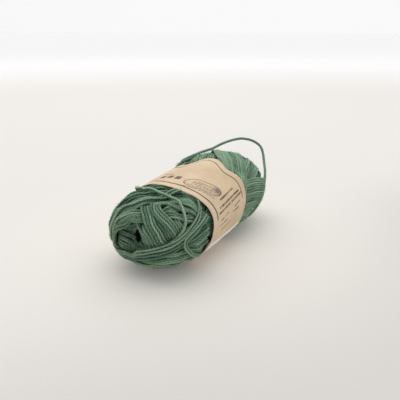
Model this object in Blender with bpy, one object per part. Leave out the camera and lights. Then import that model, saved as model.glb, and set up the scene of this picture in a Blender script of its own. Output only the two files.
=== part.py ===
"""Cotton yarn: a wound skein lying on its side, with a paper band round it and one slack strand.

The skein's axis is X, its near end points to -X, and Z is up. The origin lies on the floor
under the middle of the skein. Sizes are in millimetres and become metres where a mesh is made.
"""
import math

import bmesh
import bpy
import numpy as np

MM = 0.001

# The wound form: a blunt oval bobbin shape, a little flattened where it lies
HALF_LENGTH = 64.95
WIDTH = 58.0
HEIGHT = 47.2
SINKAGE = 1.0
NEAR_BLUNTNESS = 4.75
FAR_BLUNTNESS = 3.65
ROUNDING = 2.75
RISE_TO_FAR_END = 0.069
WIDTH_LOSS_TO_FAR_END = 0.017

# The yarn: its own thickness, the lowest turns between bundles, and the ribs along them
STRAND = 1.7
TWIST_FLOOR = 3.0
RIB_PITCH = 4.8
RIB_HEIGHT = 1.4
LOW_RIBS = 36
LOW_RIB_HEIGHT = 0.9
LOW_RIB_SLANT = 0.021
BUNDLE_END = 6.0
PRESSED_FLAT = (0.95, 0.99)

# The pull hole in the near end, an upright slit
HOLE_Y = -2.0
HOLE_Z = 4.6
HOLE_HALF_WIDTH = 2.4
HOLE_HALF_HEIGHT = 5.2
HOLE_DEPTH = 13.0
HOLE_RINGS = 4

# The paper band
PAPER = 1.0
SEAT_GAP = 0.55
NEAR_EDGE_LIFT = 1.6
LIFTED_WIDTH = 9.0
LIFTED_TURNS = (110.0, 145.0, 200.0, 235.0)
BAND_STEPS = 9

# The skein's mesh: square cells round both ends, then rows along its side
CAP_RINGS = 13
CAP_RADIUS = 21.0
NEAR_ROW = 1.9
BAND_ROW = 8.0
FAR_ROW = 2.6
BAND_ROWS_FROM = 50.0
BAND_ROWS_TO = 88.0

# The slack strand
SLACK_DIAMETER = 1.8
SLACK_POINTS = 38

# Places on the skein are (arc, angle): millimetres along the surface from the middle of the near
# end, and the turn round the axis in degrees from +Y, so that 90 is the top and 180 the front.
# A row is one bundle of strands side by side: how many, how high it lies, and where it runs.
BUNDLES = (
    {"name": "side_sweep", "strands": 6, "lift": 1.4, "route": ((15, -30), (16, 24), (21, 62), (28, 85), (40, 106))},
    {"name": "side_fan", "strands": 4, "lift": 2.4, "route": ((26, -14), (21, 22), (25, 50), (31, 72), (37, 96))},
    {"name": "inner_fan", "strands": 4, "lift": 0.8, "route": ((9, 12), (13, 55), (18, 88), (22, 104))},
    {"name": "middle_sweep", "strands": 6, "lift": 1.7, "route": ((30, 86), (20, 101), (16, 128), (16, 160), (20, -172))},
    {"name": "cross_rows", "strands": 5, "lift": 1.5, "route": ((22, 118), (30, 118), (38, 131), (47, 140))},
    {"name": "upper_ring", "strands": 3, "lift": 1.7, "route": ((44, 60), (43, 85), (43, 108), (48, 128))},
    {"name": "front_panel", "strands": 9, "lift": 1.0, "route": ((50, 160), (38, 172), (27, -172), (22, -130))},
    {"name": "front_turn", "strands": 2, "lift": 1.9, "route": ((24, 169), (25, -178), (28, -163), (37, -146))},
    {"name": "low_sweep", "strands": 4, "lift": 2.4,
     "route": ((48, 146), (35, 156), (24, 166), (12, -172), (8, -95), (13, -46), (24, -28))},
    {"name": "under_sweep", "strands": 3, "lift": 1.5,
     "route": ((32, -168), (21, -172), (13, -146), (12, -85), (18, -48))},
    {"name": "floor_sweep", "strands": 4, "lift": 1.1,
     "route": ((40, -140), (24, -148), (18, -118), (20, -72), (30, -48))},
    {"name": "back_near", "strands": 7, "lift": 1.5, "route": ((50, 60), (38, 30), (34, 0), (40, -34), (50, -60))},
    {"name": "end_strip", "strands": 3, "lift": 1.7, "route": ((21, 20), (18, -10), (20, -40), (26, -62))},
    {"name": "far_top", "strands": 8, "lift": 1.5, "route": ((96, 134), (108, 112), (124, 92), (140, 62), (146, 10))},
    {"name": "far_crown", "strands": 5, "lift": 1.0, "route": ((92, 84), (108, 72), (126, 60), (142, 20), (140, -40))},
    {"name": "far_rows", "strands": 7, "lift": 1.5, "route": ((88, 158), (104, 163), (122, 172), (140, -170), (152, -120))},
    {"name": "far_low", "strands": 6, "lift": 1.1, "route": ((88, -162), (104, -150), (122, -128), (138, -98), (146, -40))},
    {"name": "far_back", "strands": 7, "lift": 1.5, "route": ((86, 40), (102, 22), (118, -2), (134, -34), (146, -90))},
    {"name": "far_under", "strands": 6, "lift": 1.0, "route": ((86, -34), (102, -52), (122, -76), (140, -120), (148, 170))},
    {"name": "far_end_turn", "strands": 5, "lift": 1.8,
     "route": ((134, 128), (146, 140), (156, 170), (152, -40), (142, -22))},
)

# The band's two edges as (angle, x): how far along the axis the edge lies at that turn
NEAR_EDGE = ((-145, -35.5), (-110, -33.6), (-70, -34.6), (-35, -36.2), (0, -34.6), (35, -33.4), (65, -35.2),
             (92, -37.0), (116, -35.4), (134, -32.8), (156, -31.2), (180, -33.4))
FAR_EDGE = ((-160, 5.8), (-130, 4.2), (-90, 7.0), (-50, 11.0), (-20, 12.0), (10, 9.0), (40, 5.4), (63, 3.9),
            (78, 4.2), (85, 14.0), (92, 18.2), (101, 18.2), (122, 11.8), (143, 14.8), (162, 12.4), (180, 8.7))

# The slack strand's way: from the band's far edge up over the far end and down its front side
SLACK_ROUTE = (
    (5.7, 17.7, 43.3), (13.0, 17.3, 43.9), (22.0, 16.1, 44.8), (31.0, 13.6, 45.9), (37.0, 11.2, 46.6),
    (41.5, 9.3, 47.1), (45.5, 8.1, 47.9), (50.0, 6.0, 49.2), (55.5, 2.2, 50.6), (59.5, -1.3, 51.3),
    (62.0, -3.9, 51.3), (64.5, -8.2, 50.4), (66.0, -12.1, 48.6), (66.5, -15.4, 46.0), (65.5, -17.8, 41.8),
    (61.5, -20.5, 36.0), (57.5, -22.8, 32.2), (53.5, -24.4, 29.2), (50.2, -25.4, 25.9), (46.5, -26.4, 21.0),
    (41.0, -26.5, 16.2), (35.0, -25.8, 12.7), (29.5, -25.1, 10.5),
)

FINISHES = {
    "yarn": {"colour": (0.105, 0.205, 0.145, 1), "roughness": 0.95},
    "paper": {"colour": (0.62, 0.45, 0.29, 1), "roughness": 0.8},
    "strand": {"colour": (0.115, 0.225, 0.16, 1), "roughness": 0.95},
}


def smooth(value, low, high):
    """0 below low, 1 above high, and a soft step between."""
    part = np.clip((value - low) / (high - low), 0, 1)
    return part * part * (3 - 2 * part)


def bluntness(x):
    return np.where(x < 0, NEAR_BLUNTNESS, FAR_BLUNTNESS)


def share(x):
    """How much of the full section is left at x: 1 in the middle, 0 at both ends."""
    left = 1 - np.abs(x / HALF_LENGTH) ** bluntness(x)
    return np.clip(left, 0, 1) ** (1 / ROUNDING)


def meridian():
    """The form's profile as two tables: x, and the way along the surface from the near end."""
    steps = np.linspace(-1, 1, 8001)
    x = HALF_LENGTH * np.sign(steps) * (1 - (1 - np.abs(steps)) ** 3)
    radius = (WIDTH + HEIGHT) / 4 * share(x)
    arc = np.concatenate([[0], np.cumsum(np.hypot(np.diff(x), np.diff(radius)))])
    return x, arc


MERIDIAN_X, MERIDIAN_ARC = meridian()
WHOLE_ARC = float(MERIDIAN_ARC[-1])


def form_at(x, angle):
    """Points on the wound form and their outward directions, for arrays of x and angle (radians)."""
    half_width = WIDTH / 2 * (1 - WIDTH_LOSS_TO_FAR_END * x / HALF_LENGTH)
    half_height = HEIGHT / 2 * (1 + RISE_TO_FAR_END * x / HALF_LENGTH)
    rest = share(x)
    point = np.stack([x, half_width * rest * np.cos(angle),
                      half_height * (1 + rest * np.sin(angle)) - SINKAGE], -1)
    blunt = bluntness(x)
    along = blunt * np.abs(x / HALF_LENGTH) ** (blunt - 1) * np.sign(x) / HALF_LENGTH
    outward = ROUNDING * rest ** (ROUNDING - 1)
    normal = np.stack([along, outward * np.cos(angle) / half_width, outward * np.sin(angle) / half_height], -1)
    return point, normal / np.linalg.norm(normal, axis=-1, keepdims=True)


def on_form(arc, angle):
    return form_at(np.interp(arc, MERIDIAN_ARC, MERIDIAN_X), angle)


def edge_at(table, angle):
    """Read an edge table at angle (radians) along a smooth closed curve."""
    turns = np.array([row[0] for row in table], float)
    places = np.tile([row[1] for row in table], 3)
    turns = np.concatenate([turns - 360, turns, turns + 360])
    slopes = np.gradient(places, turns)
    at = (np.degrees(angle) + 180) % 360 - 180
    row = np.searchsorted(turns, at, side="right") - 1
    span = turns[row + 1] - turns[row]
    part = (at - turns[row]) / span
    start, end = places[row], places[row + 1]
    leaving, coming = slopes[row] * span, slopes[row + 1] * span
    return ((2 * part ** 3 - 3 * part ** 2 + 1) * start + (part ** 3 - 2 * part ** 2 + part) * leaving
            + (3 * part ** 2 - 2 * part ** 3) * end + (part ** 3 - part ** 2) * coming)


def smooth_way(points, count):
    """A smooth curve through the points, read at count places an even way apart."""
    points = np.asarray(points, float)
    padded = np.vstack([2 * points[0] - points[1], points, 2 * points[-1] - points[-2]])
    pieces = []
    for before, start, end, after in zip(padded, padded[1:], padded[2:], padded[3:]):
        part = np.linspace(0, 1, 24, endpoint=False)[:, None]
        pieces.append(0.5 * (2 * start + (end - before) * part
                             + (2 * before - 5 * start + 4 * end - after) * part ** 2
                             + (3 * start - before - 3 * end + after) * part ** 3))
    fine = np.vstack(pieces + [points[-1:]])
    way = np.concatenate([[0], np.cumsum(np.linalg.norm(np.diff(fine, axis=0), axis=1))])
    even = np.linspace(0, way[-1], count)
    return np.stack([np.interp(even, way, column) for column in fine.T], -1)


def bundle_way(route):
    """A bundle's middle line on the wound form, smoothed on a flat map of the nearer end."""
    arcs = np.array([row[0] for row in route], float)
    angles = np.radians([row[1] for row in route])
    from_far = arcs.mean() > WHOLE_ARC / 2
    reach = WHOLE_ARC - arcs if from_far else arcs
    flat = smooth_way(np.stack([reach * np.cos(angles), reach * np.sin(angles)], -1), 70)
    reach = np.hypot(flat[:, 0], flat[:, 1])
    angle = np.arctan2(flat[:, 1], flat[:, 0])
    return on_form(WHOLE_ARC - reach if from_far else reach, angle)[0]


def twist_height(points, arc, angle):
    """How high the turns stand at each point of the wound form: slanted low ribs, with the bundles over them."""
    height = LOW_RIB_HEIGHT * np.abs(np.cos(LOW_RIBS / 2 * (angle + LOW_RIB_SLANT * arc)))
    height *= smooth(arc, 14, 24) * smooth(WHOLE_ARC - arc, 14, 24)
    for bundle in BUNDLES:
        way = bundle_way(bundle["route"])
        squares = ((points[:, None, :] - way[None, :, :]) ** 2).sum(-1)
        distance = np.sqrt(squares.min(1))
        nearest = squares.argmin(1)
        half = bundle["strands"] * STRAND / 2
        rib = np.abs(np.cos(math.pi * distance / RIB_PITCH))
        raised = (bundle["lift"] + RIB_HEIGHT * rib) * (1 - smooth(distance, half - STRAND / 2, half + STRAND / 2))
        ends = smooth(nearest, 0, BUNDLE_END) * smooth(len(way) - 1 - nearest, 0, BUNDLE_END)
        height = np.maximum(height, raised * ends)
    return height


def lifted(angle):
    """Where round the axis the band's near edge stands off the yarn, from 0 to 1."""
    degrees = np.degrees(angle) % 360
    start, full, fading, end = LIFTED_TURNS
    return smooth(degrees, start, full) * (1 - smooth(degrees, fading, end))


def skein_points(arc, angle, extra_depth):
    """The skein's surface: bundles stand up from the lowest turns, the underside is pressed flat
    on the floor, and the band's seat is let in.
    """
    point, normal = on_form(arc, angle)
    inside_near = point[:, 0] - edge_at(NEAR_EDGE, angle)
    inside_far = edge_at(FAR_EDGE, angle) - point[:, 0]
    seat = smooth(inside_near, -7.0, -2.0) * smooth(inside_far, -4.5, -1.2)
    loosened = NEAR_EDGE_LIFT * lifted(angle) * (1 - smooth(inside_near, 0.0, LIFTED_WIDTH))
    pressed = smooth(-normal[:, 2], *PRESSED_FLAT)
    open_depth = (TWIST_FLOOR - twist_height(point, arc, angle)) * (1 - pressed)
    depth = open_depth * (1 - seat) + (PAPER + SEAT_GAP + loosened) * seat
    surface = point - normal * (depth + extra_depth)[:, None]
    surface[:, 2] = np.maximum(surface[:, 2], seat * (PAPER + SEAT_GAP))
    return surface


def square_cap(rings):
    """A square grid bent into a disc: its points as (ring, turn), its cells, and its rim in order."""
    numbers = {}
    places = []
    rim = {}
    for row in range(-rings, rings + 1):
        for column in range(-rings, rings + 1):
            ring = max(abs(row), abs(column))
            if abs(column) >= abs(row):
                turn = math.pi / 4 * row / (column or 1) + (math.pi if column < 0 else 0)
            else:
                turn = math.pi / 2 - math.pi / 4 * column / row + (math.pi if row < 0 else 0)
            turn %= 2 * math.pi
            numbers[row, column] = len(places)
            if ring == rings:
                rim[round(turn / (2 * math.pi) * 8 * rings) % (8 * rings)] = len(places)
            places.append((ring, turn))
    cells = [(numbers[row, column], numbers[row, column + 1], numbers[row + 1, column + 1], numbers[row + 1, column])
             for row in range(-rings, rings) for column in range(-rings, rings)]
    return places, cells, [rim[index] for index in range(8 * rings)]


def near_cap_point(ring, turn):
    """Arc, angle and extra depth of a point of the near cap, whose first rings form the pull hole."""
    outward = ring / CAP_RINGS
    lip = HOLE_RINGS / CAP_RINGS
    half_width = np.interp(outward, (0, lip, 1), (0, HOLE_HALF_WIDTH, CAP_RADIUS))
    half_height = np.interp(outward, (0, lip, 1), (0, HOLE_HALF_HEIGHT, CAP_RADIUS))
    shift = np.interp(outward, (0, lip, 1), (1, 1, 0))
    across = HOLE_Y * shift + half_width * math.cos(turn)
    up = HOLE_Z * shift + half_height * math.sin(turn)
    depth = HOLE_DEPTH * np.interp(ring, (0, 1, 2, 3, HOLE_RINGS), (1, 1, 0.8, 0.4, 0))
    return math.hypot(across, up), math.atan2(up, across), depth


def side_rows():
    """The arcs of the rows between the two caps: close at both ends and wide under the band."""
    last = WHOLE_ARC - CAP_RADIUS
    stretches = ((CAP_RADIUS, BAND_ROWS_FROM, NEAR_ROW), (BAND_ROWS_FROM, BAND_ROWS_TO, BAND_ROW),
                 (BAND_ROWS_TO, last, FAR_ROW))
    rows = []
    for start, end, step in stretches:
        count = round((end - start) / step)
        rows += [start + (end - start) * index / count for index in range(1, count + 1)]
    return rows[:-1]


def add_piece(name, vertices, faces, finish):
    """Make one closed piece, its faces turned outwards, from points in millimetres."""
    shape = bmesh.new()
    made = [shape.verts.new([value * MM for value in point]) for point in vertices]
    for face in faces:
        shape.faces.new([made[index] for index in face])
    bmesh.ops.recalc_face_normals(shape, faces=shape.faces)
    mesh = bpy.data.meshes.new(name)
    shape.to_mesh(mesh)
    shape.free()
    mesh.shade_smooth()
    mesh.materials.append(finish)
    piece = bpy.data.objects.new(name, mesh)
    bpy.context.scene.collection.objects.link(piece)
    return piece


def ring_faces(first, second):
    """Cells between two rings of the same number of points."""
    count = len(first)
    return [(first[index], first[(index + 1) % count], second[(index + 1) % count], second[index])
            for index in range(count)]


def make_skein(finish):
    places, cells, rim = square_cap(CAP_RINGS)
    columns = 8 * CAP_RINGS
    near = [near_cap_point(ring, turn) for ring, turn in places]
    far = [(WHOLE_ARC - ring / CAP_RINGS * CAP_RADIUS, turn, 0.0) for ring, turn in places]
    side = [(arc, 2 * math.pi * index / columns, 0.0) for arc in side_rows() for index in range(columns)]
    arc, angle, depth = np.array(near + far + side).T
    vertices = skein_points(arc, angle, depth).tolist()
    faces = cells + [tuple(index + len(places) for index in cell) for cell in cells]
    rings = [rim]
    start = 2 * len(places)
    for first in range(start, len(vertices), columns):
        rings.append(list(range(first, first + columns)))
    rings.append([index + len(places) for index in rim])
    for here, after in zip(rings, rings[1:]):
        faces += ring_faces(here, after)
    return add_piece("yarn_skein", vertices, faces, finish)


def make_band(finish):
    columns = 4 * CAP_RINGS
    angle = 2 * math.pi * np.arange(columns) / columns
    near, far = edge_at(NEAR_EDGE, angle), edge_at(FAR_EDGE, angle)
    vertices = []
    rings = []
    steps = [index / BAND_STEPS for index in range(BAND_STEPS + 1)]
    courses = [(step, 0.0) for step in steps] + [(step, PAPER) for step in reversed(steps)]
    for step, depth in courses:
        point, normal = form_at(near + (far - near) * step, angle)
        course = point - normal * depth
        course[:, 2] = np.maximum(course[:, 2], depth)
        rings.append(list(range(len(vertices), len(vertices) + columns)))
        vertices += course.tolist()
    faces = []
    for here, after in zip(rings, rings[1:] + rings[:1]):
        faces += ring_faces(here, after)
    return add_piece("paper_band", vertices, faces, finish)


def make_slack_strand(finish):
    curve = bpy.data.curves.new("slack_strand", "CURVE")
    curve.dimensions = "3D"
    curve.bevel_depth = SLACK_DIAMETER / 2 * MM
    curve.bevel_resolution = 2
    curve.use_fill_caps = True
    spline = curve.splines.new("POLY")
    points = smooth_way(SLACK_ROUTE, SLACK_POINTS)
    spline.points.add(len(points) - 1)
    for place, point in zip(spline.points, points):
        place.co = (*(point * MM), 1)
    curve.materials.append(finish)
    strand = bpy.data.objects.new("slack_strand", curve)
    bpy.context.scene.collection.objects.link(strand)
    return strand


def make_finish(name):
    material = bpy.data.materials.new(name)
    material.use_nodes = True
    shader = material.node_tree.nodes["Principled BSDF"]
    shader.inputs["Base Color"].default_value = FINISHES[name]["colour"]
    shader.inputs["Roughness"].default_value = FINISHES[name]["roughness"]
    shader.inputs["Metallic"].default_value = 0.0
    return material


def main():
    for old in list(bpy.data.objects):
        bpy.data.objects.remove(old, do_unlink=True)
    make_skein(make_finish("yarn"))
    make_band(make_finish("paper"))
    make_slack_strand(make_finish("strand"))


main()
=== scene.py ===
"""Looks of the banded skein of cotton yarn: its turns of plied strand, paper band and slack strand.

Sizes are in millimetres, in the frame's own axes, and become metres where a mesh is made. Places
on the skein are (arc, turn): the way along its form from the middle of the near end, and the turn
round its axis in degrees from +Y, so that 90 is the top and 180 the front.
"""
import math

import bmesh
import bpy
import numpy as np
from mathutils import Matrix, Vector
from mathutils.kdtree import KDTree


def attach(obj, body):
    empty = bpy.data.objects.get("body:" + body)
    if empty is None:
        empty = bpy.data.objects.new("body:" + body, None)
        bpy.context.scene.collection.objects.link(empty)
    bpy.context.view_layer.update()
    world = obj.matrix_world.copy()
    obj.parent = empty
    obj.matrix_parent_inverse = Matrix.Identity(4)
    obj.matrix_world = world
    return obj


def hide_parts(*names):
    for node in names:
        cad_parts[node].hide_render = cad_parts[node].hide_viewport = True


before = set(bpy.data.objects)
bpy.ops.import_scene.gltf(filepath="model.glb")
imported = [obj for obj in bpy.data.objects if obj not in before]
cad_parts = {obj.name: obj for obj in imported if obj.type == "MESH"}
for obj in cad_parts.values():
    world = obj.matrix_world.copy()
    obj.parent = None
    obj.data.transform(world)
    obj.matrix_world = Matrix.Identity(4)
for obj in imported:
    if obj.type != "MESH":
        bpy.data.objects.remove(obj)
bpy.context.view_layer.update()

MM = 0.001


def table(columns, *rows):
    """Rows of values under named columns."""
    return [dict(zip(columns.split(), row)) for row in rows]



# The camera, fitted to the photograph's outline of the skein
PHOTO_PX = 400
FOCUS_PX = 495.6
SENSOR = 36.0
CAMERA_PLACE = (-251.8, -135.2, 123.65)
CAMERA_PITCH = 19.12
CAMERA_YAW = 27.72

# The wound form, as in the solids
HALF_LENGTH = 64.95
WIDTH = 58.0
HEIGHT = 47.2
SINKAGE = 1.0
NEAR_BLUNTNESS = 4.75
FAR_BLUNTNESS = 3.65
ROUNDING = 2.75
RISE_TO_FAR_END = 0.069
WIDTH_LOSS_TO_FAR_END = 0.017
SPINE = 38.0            # half the line inside from which places are moved out onto the form
MEAN_RADIUS = (WIDTH + HEIGHT - 0.5) / 4
PROFILE_POINTS = 8001
OUTSIDE = 80.0          # beyond the form from anywhere in it
HALVINGS = 26           # of that way, to find the form's face
CURVE_PARTS = 24        # between two points of a route

# The yarn's strands
STRAND = 1.6
STEP = 1.0              # between the points of a line
PLIES = 3
PLY_TURN = 6.0
GROOVE = 0.24
TURN_SIDES = 12
LOOP_SIDES = 9
GIRTH_CHANCE = 0.05
FIBRE_LENGTH = 1.2
FIBRE_THICKNESS = 0.08
TURN_FIBRES = 34e4      # on a square metre
LOOP_FIBRES = 12e4
FIBRES_OFF_FLOOR = 2.8
SHUT_FROM = 0.0         # how far out a face looks where its painted shade is darkest, and where it has none
OPEN_FROM = 0.8
DEEP_TURNS = 52

# How strands lie on each other. A height is that of a strand's outer side over the wound form.
CLOSENESS = 0.86        # of a strand's thickness, from middle to middle of two that touch
PITCH = 1.47            # from strand to strand, side by side
WANDER = 0.12
WANDER_WAVES = (19, 34, 58)
SHORTEST = 6            # points of a line
BRIDGED = 2             # points to each side over which a strand stays up
EASED = 5               # points to each side over which its height is eased
EASED_SPREAD = 2.2
OVERLAP = 3             # points left on at each end of what shows
ON_FLOOR = 0.47         # of a strand's thickness, from the floor to its middle
LOWEST = -4.6
BURIED = -7.0
BASE_LEVEL = -1.7
TOP_LEVEL = -0.2
LEVEL_GRID = (72, 60)
LEVEL_REACH = 2.2
LEVEL_FADE = 10
EVEN_REACH = 4.0
COVER_REACH = 1.1
COVER_DEPTH = 2.7
HEIGHT_LIMIT = 0.3
KEPT_PAST_LIMIT = 0.45
FAR_BULGE = 0.8
BULGE_REACH = 6.0
MOST_PAIRS = 300000     # compared one by one before they go into a tree

# The crossing loops under the main bundles
LOOP_GROUPS = 50
LOOP_LEANS = (4, 24)    # degrees
LOOP_STRANDS = (6, 9)   # at least, and fewer than
LOOP_POINTS = 720
LOOP_WANDER = 0.3
LOOP_WAVES = (23, 41, 67)
LOOP_UNDER_BAND = 6.0
SHORTEST_LOOP = 12
NEAR_LOOPS_BEFORE = -8  # the middle of every loop at the near end

# The pull hole in the near end, and the dish round it. Its middle and half openings are given
# across and up, on the near end as a flat face. Its lip, its fade, where strands end at it and
# where its funnel begins are counted in half openings.
NEAR_FACE = 30          # the arc as far as the end counts as a flat face
HOLE = (3.1, 1.3)
HOLE_HALF = (1.35, 5.8)
HOLE_LIP = 1.3
HOLE_FADE = 3.4
LOOPS_END = 1.2
TURNS_END = 0.8
FUNNEL_FROM = 0.8
FUNNEL_DEPTH = 3.2
DEEP_FUNNELS = 2.4
HOLLOW_MIDDLE = (1.6, 1.6)
HOLLOW_DEPTH = 3.2
HOLLOW_FROM = 4.0
HOLLOW_REACH = 14.0
SUNK = ("base", "hole_top", "hole_left", "hole_right")

# The body between the strands, painted dark as shade
CORE_GRID = (72, 96)
CORE_DEPTH = 4.4
CORE_UNDER_BAND = 2.2
CORE_OFF_FLOOR = 0.9
PIT_MARGIN = 0.4
PIT_EDGE = (0.75, 1.25)
PIT_DEPTH = 9.0
PIT_MIDDLE_DEPTH = 14.2

# The paper band. Its edges are (turn, place along the skein's axis).
PAPER = 0.28
PAPER_POINTS = (330, 44)            # round the yarn, and from edge to edge
PAPER_TURNS = (-162.0, 213.0)
TUCK_TURNS = (138.0, 150.0)         # of the start under the end, counted backwards
TUCK_DEPTH = 0.42
LAP_TURNS = (190.0, 200.0)
LAP_RISE = 0.1
PAPER_SINKAGE = 0.12
PAPER_OFF_FLOOR = 0.02
SEAT_GAP = 0.35
NEAR_SEAT = (-1.4, 0.6)
FAR_SEAT = (-1.2, 0.4)
LEAST_SEAT = 0.02
NEAR_EDGE_LIFT = 2.4
LIFTED_WIDTH = 9.0
LIFTED_SHIFT = 3.0
LIFTED_TURNS = (128.0, 150.0, 200.0, 235.0)
NEAR_EDGE = ((-145, -35.5), (-110, -33.6), (-70, -34.6), (-35, -36.2), (0, -34.2), (35, -32.6),
             (65, -33.4), (92, -35.8), (116, -34.8), (134, -32.8), (156, -31.2), (180, -33.4))
FAR_EDGE = ((-160, 5.8), (-130, 4.2), (-90, 7.0), (-50, 11.0), (-20, 12.0), (10, 9.0), (40, 5.4),
            (63, 3.9), (78, 4.2), (85, 14.0), (92, 18.2), (101, 18.2), (122, 11.8), (143, 14.8),
            (162, 12.4), (180, 8.7))
CREASES = table(
    "round along start height",
    (0.31, 0.12, 0.4, 0.10),
    (0.17, -0.21, 2.1, 0.12),
    (0.08, 0.33, 4.0, 0.08),
    (0.52, 0.05, 1.3, 0.05),
)
CREASE_MEAN = 0.2

# The print on the paper. Lines along the edges: how far in, and the turns where they begin and end.
# Bars: where they start and end along the skein, their turn round it, half their height in degrees,
# how much they slant (degrees a millimetre), how often they break, and how dark they are.
BORDER_BEGINS = (58.0, 62.0)
NEAR_BORDER = {"inset": 4.7, "ends": (168.0, 171.0)}
FAR_BORDER = {"inset": 5.6, "ends": (164.0, 167.0)}
MARGIN_TURNS = (200.2, 200.8)
PRINT_BARS = table(
    "from to turn half slant breaks dark",
    (-24.6, -20.6, 73.0, 3.2, 0.0, 0.0, 0.9),
    (-24.6, -20.6, 82.5, 3.2, 0.0, 0.0, 0.9),
    (-24.6, -20.6, 92.0, 3.2, 0.0, 0.0, 0.9),
    (-18.2, -17.3, 74.0, 6.0, 0.0, 0.0, 0.6),
    (-17.5, 0.2, 147.6, 1.0, 0.16, 1.7, 0.95),
    (-21.8, 5.4, 155.2, 1.0, 0.17, 1.5, 0.95),
    (-24.6, 7.0, 160.4, 1.0, 0.2, 1.6, 0.95),
    (-5.8, 2.2, 167.2, 0.75, 0.3, 2.4, 0.85),
    (-8.0, -0.6, 173.4, 0.75, 0.16, 2.2, 0.85),
    (-24.0, -14.0, 171.5, 0.75, 0.4, 2.0, 0.7),
    (-26.0, -17.0, 178.5, 0.75, 0.3, 2.2, 0.7),
    (-25.0, -12.0, 185.0, 0.75, 0.3, 2.0, 0.6),
)
OVAL = {"way": -19.8, "turn": 123.0, "slant": -0.22, "half_length": 4.7, "half_width": 5.1}
OVAL_DEGREES = 2.1      # for a millimetre round the skein
OVAL_ROWS = table(
    "off from to dark",
    (2.0, 110.0, 132.0, 0.75),
    (0.2, 106.0, 136.0, 0.75),
    (-1.6, 105.0, 138.0, 0.75),
    (-3.4, 107.0, 140.0, 0.75),
    (-6.6, 102.0, 144.0, 0.7),
)
DAB = {"way": -14.6, "turn": 138.0, "from": 0.6, "reach": 4.2}
DAB_MM = 0.48           # for a degree round the skein

# The slack strand, and how the yarn swells to meet it where it lies
SLACK_DIAMETER = 1.8
SLACK_FULLER = 1.1
SLACK_STEP = 1.2
SLACK_LEAVES_BAND = 9.5
SLACK_TUCK = (1.6, 1.1, 0.6, 0.2)   # of its first points, against the way out from the yarn there
SLACK_WAY_OUT = (-0.3, 0.55, 0.8)
SLACK_LIES = 3.0
SLACK_RISE = 1.35
SLACK_RISE_FROM_BAND = (-0.5, 5.5)
SLACK_RISE_WIDTH = 1.5
SLACK_RISE_FADE = 5.5
SLACK_ROUTE = (
    (5.7, 17.7, 43.3), (13.0, 17.3, 43.9), (22.0, 16.1, 44.8), (31.0, 13.6, 45.9), (37.0, 11.2, 46.6),
    (41.5, 9.3, 47.1), (45.5, 8.1, 47.9), (50.0, 6.0, 49.2), (55.5, 2.2, 50.6), (59.5, -1.3, 51.3),
    (62.0, -3.9, 51.3), (64.5, -8.2, 50.4), (66.0, -12.1, 48.6), (66.5, -15.4, 46.0), (65.5, -17.8, 41.8),
    (61.5, -20.5, 36.0), (57.5, -22.8, 32.2), (53.5, -24.4, 29.2), (50.2, -25.4, 25.9), (46.5, -26.4, 21.0),
    (41.0, -26.5, 16.2), (35.0, -25.8, 12.7), (30.5, -25.0, 10.7), (27.8, -23.9, 9.5), (26.0, -22.2, 9.0),
)

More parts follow.
